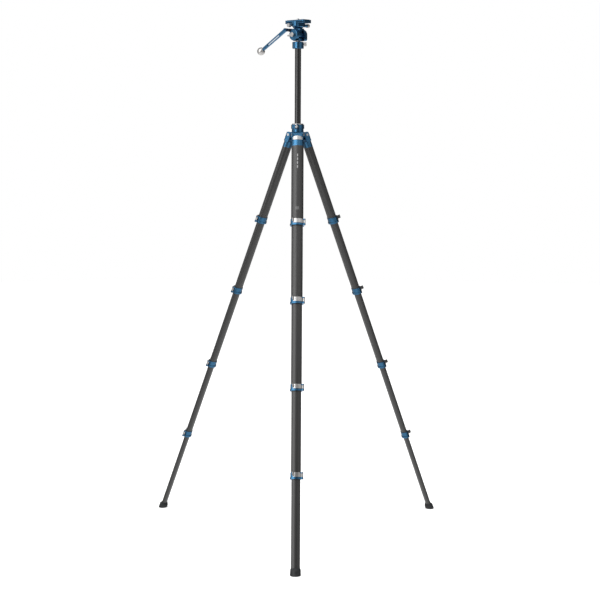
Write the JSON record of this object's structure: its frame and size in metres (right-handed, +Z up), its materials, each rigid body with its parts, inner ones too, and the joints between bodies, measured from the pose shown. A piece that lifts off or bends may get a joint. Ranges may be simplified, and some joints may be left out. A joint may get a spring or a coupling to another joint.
{
  "type": "tripod with fluid head",
  "caption": "Camera tripod with telescoping flip-lock carbon legs, a sliding centre column and a pan and tilt fluid head with a slotted handle and a dovetail quick-release plate.",
  "frame": {"origin": "bottom centre of the whole object's box, on the floor under the legs", "axes": "+Z up along the centre column, -Y towards the front leg, +X to the right seen from the front leg"},
  "size_m": [0.9602, 0.8362, 1.66],
  "materials": {
    "blue_anodised": "satin anodised",
    "satin_silver": "satin",
    "carbon_fibre": "clear-coated twill",
    "black_anodised": "gloss black",
    "black_rubber": "matt",
    "steel": "bright",
    "black_plastic": "matt"
  },
  "bodies": {
    "spider": {"spider_body": "blue_anodised", "hinge_pins": "steel", "column_guide_bush": "satin_silver", "column_clamp_collar": "blue_anodised"},
    "leg_1_stage_1": {"leg_1_top_casting": "blue_anodised", "leg_1_section_1": "carbon_fibre"},
    "leg_1_tab": {"leg_1_angle_tab": "satin_silver"},
    "leg_1_stage_2": {"leg_1_section_2": "carbon_fibre"},
    "leg_1_stage_3": {"leg_1_section_3": "carbon_fibre"},
    "leg_1_stage_4": {"leg_1_section_4": "carbon_fibre"},
    "leg_1_stage_5": {"leg_1_section_5": "carbon_fibre", "leg_1_foot": "black_rubber"},
    "leg_1_lock_1": {"leg_1_lever_1": "satin_silver"},
    "leg_1_lock_2": {"leg_1_lever_2": "satin_silver"},
    "leg_1_lock_3": {"leg_1_lever_3": "satin_silver"},
    "leg_1_lock_4": {"leg_1_lever_4": "satin_silver"},
    "leg_2_stage_1": {"leg_2_top_casting": "blue_anodised", "leg_2_section_1": "carbon_fibre"},
    "leg_2_tab": {"leg_2_angle_tab": "satin_silver"},
    "leg_2_stage_2": {"leg_2_section_2": "carbon_fibre"},
    "leg_2_stage_3": {"leg_2_section_3": "carbon_fibre"},
    "leg_2_stage_4": {"leg_2_section_4": "carbon_fibre"},
    "leg_2_stage_5": {"leg_2_section_5": "carbon_fibre", "leg_2_foot": "black_rubber"},
    "leg_2_lock_1": {"leg_2_lever_1": "satin_silver"},
    "leg_2_lock_2": {"leg_2_lever_2": "satin_silver"},
    "leg_2_lock_3": {"leg_2_lever_3": "satin_silver"},
    "leg_2_lock_4": {"leg_2_lever_4": "satin_silver"},
    "leg_3_stage_1": {"leg_3_top_casting": "blue_anodised", "leg_3_section_1": "carbon_fibre"},
    "leg_3_tab": {"leg_3_angle_tab": "satin_silver"},
    "leg_3_stage_2": {"leg_3_section_2": "carbon_fibre"},
    "leg_3_stage_3": {"leg_3_section_3": "carbon_fibre"},
    "leg_3_stage_4": {"leg_3_section_4": "carbon_fibre"},
    "leg_3_stage_5": {"leg_3_section_5": "carbon_fibre", "leg_3_foot": "black_rubber"},
    "leg_3_lock_1": {"leg_3_lever_1": "satin_silver"},
    "leg_3_lock_2": {"leg_3_lever_2": "satin_silver"},
    "leg_3_lock_3": {"leg_3_lever_3": "satin_silver"},
    "leg_3_lock_4": {"leg_3_lever_4": "satin_silver"},
    "column_lock": {"column_lock_knob": "satin_silver"},
    "column": {"column_tube": "black_anodised", "column_end_cap": "black_plastic", "head_base_collar": "blue_anodised", "pan_shaft": "steel"},
    "pan_lock": {"pan_lock_knob": "satin_silver"},
    "pan_base": {"pan_housing": "blue_anodised"},
    "tilt_lock": {"tilt_lock_lever": "satin_silver"},
    "tilt_platform": {"tilt_axle": "steel", "tilt_drag_cartridge": "black_plastic", "tilt_body": "blue_anodised", "handle_rosette": "black_plastic", "qr_clamp": "blue_anodised"},
    "handle": {"handle_bar": "blue_anodised", "handle_knob": "satin_silver"},
    "clamp_screw": {"clamp_knob": "satin_silver"},
    "plate_release": {"plate_release_knob": "satin_silver"},
    "plate": {"qr_plate": "blue_anodised", "plate_pad": "black_rubber"},
    "camera_screw": {"camera_screw": "steel"}
  },
  "joints": [
    {"name": "column_lock_turn", "type": "hinge", "parent": "spider", "child": "column_lock", "pos_m": [-0.00619, 0.10905, 1.317], "axis": [0.866, -0.5, 0], "range_deg": [0, 270]},
    {"name": "column_raise", "type": "slide", "parent": "spider", "child": "column", "axis": [0, 0, 1], "range_m": [-0.235, 0]},
    {"name": "pan_lock_turn", "type": "hinge", "parent": "column", "child": "pan_lock", "pos_m": [0.02, 0.13376, 1.5786], "axis": [1, 0, 0], "range_deg": [0, 270]},
    {"name": "head_pan", "type": "hinge", "parent": "column", "child": "pan_base", "pos_m": [0, 0.13376, 1.5878], "axis": [0, 0, 1], "continuous": true},
    {"name": "head_tilt", "type": "hinge", "parent": "pan_base", "child": "tilt_platform", "pos_m": [0, 0.13376, 1.608], "axis": [-0.7071, -0.7071, 0], "range_deg": [-90, 60]},
    {"name": "tilt_lock_turn", "type": "hinge", "parent": "pan_base", "child": "tilt_lock", "pos_m": [-0.01768, 0.11609, 1.608], "axis": [0.7071, 0.7071, 0], "range_deg": [0, 60]},
    {"name": "handle_set", "type": "hinge", "parent": "tilt_platform", "child": "handle", "pos_m": [-0.03995, 0.12917, 1.6235], "axis": [0.7071, 0.7071, 0], "range_deg": [-59, 90]},
    {"name": "clamp_knob_turn", "type": "hinge", "parent": "tilt_platform", "child": "clamp_screw", "pos_m": [-0.03182, 0.11609, 1.6375], "axis": [-0.7071, -0.7071, 0], "range_deg": [0, 270]},
    {"name": "plate_release_pull", "type": "slide", "parent": "tilt_platform", "child": "plate_release", "axis": [0.7071, 0.7071, 0], "range_m": [0, 0.0025], "stiffness_N_per_m": 500},
    {"name": "plate_slide", "type": "slide", "parent": "tilt_platform", "child": "plate", "axis": [0.7071, -0.7071, 0], "range_m": [-0.02, 0.02]},
    {"name": "camera_screw_turn", "type": "hinge", "parent": "plate", "child": "camera_screw", "pos_m": [0, 0.13376, 1.654], "axis": [0, 0, 1], "continuous": true},
    {"name": "leg_1_fold", "type": "hinge", "parent": "spider", "child": "leg_1_stage_1", "pos_m": [0, 0.10976, 1.29224], "axis": [-1, 0, 0], "range_deg": [-21.7, 0]},
    {"name": "leg_1_tab_pull", "type": "slide", "parent": "leg_1_stage_1", "child": "leg_1_tab", "axis": [0, -0.9291, 0.3697], "range_m": [0, 0.005], "stiffness_N_per_m": 300},
    {"name": "leg_1_extend_2", "type": "slide", "parent": "leg_1_stage_1", "child": "leg_1_stage_2", "axis": [0, -0.3697, -0.9291], "range_m": [-0.227, 0]},
    {"name": "leg_1_extend_3", "type": "slide", "parent": "leg_1_stage_2", "child": "leg_1_stage_3", "axis": [0, -0.3697, -0.9291], "range_m": [-0.252, 0]},
    {"name": "leg_1_extend_4", "type": "slide", "parent": "leg_1_stage_3", "child": "leg_1_stage_4", "axis": [0, -0.3697, -0.9291], "range_m": [-0.246, 0]},
    {"name": "leg_1_extend_5", "type": "slide", "parent": "leg_1_stage_4", "child": "leg_1_stage_5", "axis": [0, -0.3697, -0.9291], "range_m": [-0.255, 0]},
    {"name": "leg_1_lock_1_flip", "type": "hinge", "parent": "leg_1_stage_1", "child": "leg_1_lock_1", "pos_m": [0.02269, -0.00729, 1.01884], "axis": [0, 0.3697, 0.9291], "range_deg": [0, 130]},
    {"name": "leg_1_lock_2_flip", "type": "hinge", "parent": "leg_1_stage_2", "child": "leg_1_lock_2", "pos_m": [0.02144, -0.1009, 0.78165], "axis": [0, 0.3697, 0.9291], "range_deg": [0, 130]},
    {"name": "leg_1_lock_3_flip", "type": "hinge", "parent": "leg_1_stage_3", "child": "leg_1_lock_3", "pos_m": [0.02018, -0.2018, 0.52615], "axis": [0, 0.3697, 0.9291], "range_deg": [0, 130]},
    {"name": "leg_1_lock_4_flip", "type": "hinge", "parent": "leg_1_stage_4", "child": "leg_1_lock_4", "pos_m": [0.01893, -0.30077, 0.27548], "axis": [0, 0.3697, 0.9291], "range_deg": [0, 130]},
    {"name": "leg_2_fold", "type": "hinge", "parent": "spider", "child": "leg_2_stage_1", "pos_m": [0.02079, 0.14576, 1.29224], "axis": [0.5, -0.866, 0], "range_deg": [-21.7, 0]},
    {"name": "leg_2_tab_pull", "type": "slide", "parent": "leg_2_stage_1", "child": "leg_2_tab", "axis": [0.8047, 0.4646, 0.3697], "range_m": [0, 0.005], "stiffness_N_per_m": 300},
    {"name": "leg_2_extend_2", "type": "slide", "parent": "leg_2_stage_1", "child": "leg_2_stage_2", "axis": [0.3202, 0.1849, -0.9291], "range_m": [-0.227, 0]},
    {"name": "leg_2_extend_3", "type": "slide", "parent": "leg_2_stage_2", "child": "leg_2_stage_3", "axis": [0.3202, 0.1849, -0.9291], "range_m": [-0.252, 0]},
    {"name": "leg_2_extend_4", "type": "slide", "parent": "leg_2_stage_3", "child": "leg_2_stage_4", "axis": [0.3202, 0.1849, -0.9291], "range_m": [-0.246, 0]},
    {"name": "leg_2_extend_5", "type": "slide", "parent": "leg_2_stage_4", "child": "leg_2_stage_5", "axis": [0.3202, 0.1849, -0.9291], "range_m": [-0.255, 0]},
    {"name": "leg_2_lock_1_flip", "type": "hinge", "parent": "leg_2_stage_1", "child": "leg_2_lock_1", "pos_m": [0.11081, 0.22395, 1.01884], "axis": [-0.3202, -0.1849, 0.9291], "range_deg": [0, 130]},
    {"name": "leg_2_lock_2_flip", "type": "hinge", "parent": "leg_2_stage_2", "child": "leg_2_lock_2", "pos_m": [0.19251, 0.26966, 0.78165], "axis": [-0.3202, -0.1849, 0.9291], "range_deg": [0, 130]},
    {"name": "leg_2_lock_3_flip", "type": "hinge", "parent": "leg_2_stage_3", "child": "leg_2_lock_3", "pos_m": [0.28052, 0.31902, 0.52615], "axis": [-0.3202, -0.1849, 0.9291], "range_deg": [0, 130]},
    {"name": "leg_2_lock_4_flip", "type": "hinge", "parent": "leg_2_stage_4", "child": "leg_2_lock_4", "pos_m": [0.36686, 0.36742, 0.27548], "axis": [-0.3202, -0.1849, 0.9291], "range_deg": [0, 130]},
    {"name": "leg_3_fold", "type": "hinge", "parent": "spider", "child": "leg_3_stage_1", "pos_m": [-0.02079, 0.14576, 1.29224], "axis": [0.5, 0.866, 0], "range_deg": [-21.7, 0]},
    {"name": "leg_3_tab_pull", "type": "slide", "parent": "leg_3_stage_1", "child": "leg_3_tab", "axis": [-0.8047, 0.4646, 0.3697], "range_m": [0, 0.005], "stiffness_N_per_m": 300},
    {"name": "leg_3_extend_2", "type": "slide", "parent": "leg_3_stage_1", "child": "leg_3_stage_2", "axis": [-0.3202, 0.1849, -0.9291], "range_m": [-0.227, 0]},
    {"name": "leg_3_extend_3", "type": "slide", "parent": "leg_3_stage_2", "child": "leg_3_stage_3", "axis": [-0.3202, 0.1849, -0.9291], "range_m": [-0.252, 0]},
    {"name": "leg_3_extend_4", "type": "slide", "parent": "leg_3_stage_3", "child": "leg_3_stage_4", "axis": [-0.3202, 0.1849, -0.9291], "range_m": [-0.246, 0]},
    {"name": "leg_3_extend_5", "type": "slide", "parent": "leg_3_stage_4", "child": "leg_3_stage_5", "axis": [-0.3202, 0.1849, -0.9291], "range_m": [-0.255, 0]},
    {"name": "leg_3_lock_1_flip", "type": "hinge", "parent": "leg_3_stage_1", "child": "leg_3_lock_1", "pos_m": [-0.13351, 0.18464, 1.01884], "axis": [0.3202, -0.1849, 0.9291], "range_deg": [0, 130]},
    {"name": "leg_3_lock_2_flip", "type": "hinge", "parent": "leg_3_stage_2", "child": "leg_3_lock_2", "pos_m": [-0.21395, 0.23253, 0.78165], "axis": [0.3202, -0.1849, 0.9291], "range_deg": [0, 130]},
    {"name": "leg_3_lock_3_flip", "type": "hinge", "parent": "leg_3_stage_3", "child": "leg_3_lock_3", "pos_m": [-0.3007, 0.28407, 0.52615], "axis": [0.3202, -0.1849, 0.9291], "range_deg": [0, 130]},
    {"name": "leg_3_lock_4_flip", "type": "hinge", "parent": "leg_3_stage_4", "child": "leg_3_lock_4", "pos_m": [-0.38578, 0.33464, 0.27548], "axis": [0.3202, -0.1849, 0.9291], "range_deg": [0, 130]}
  ]
}
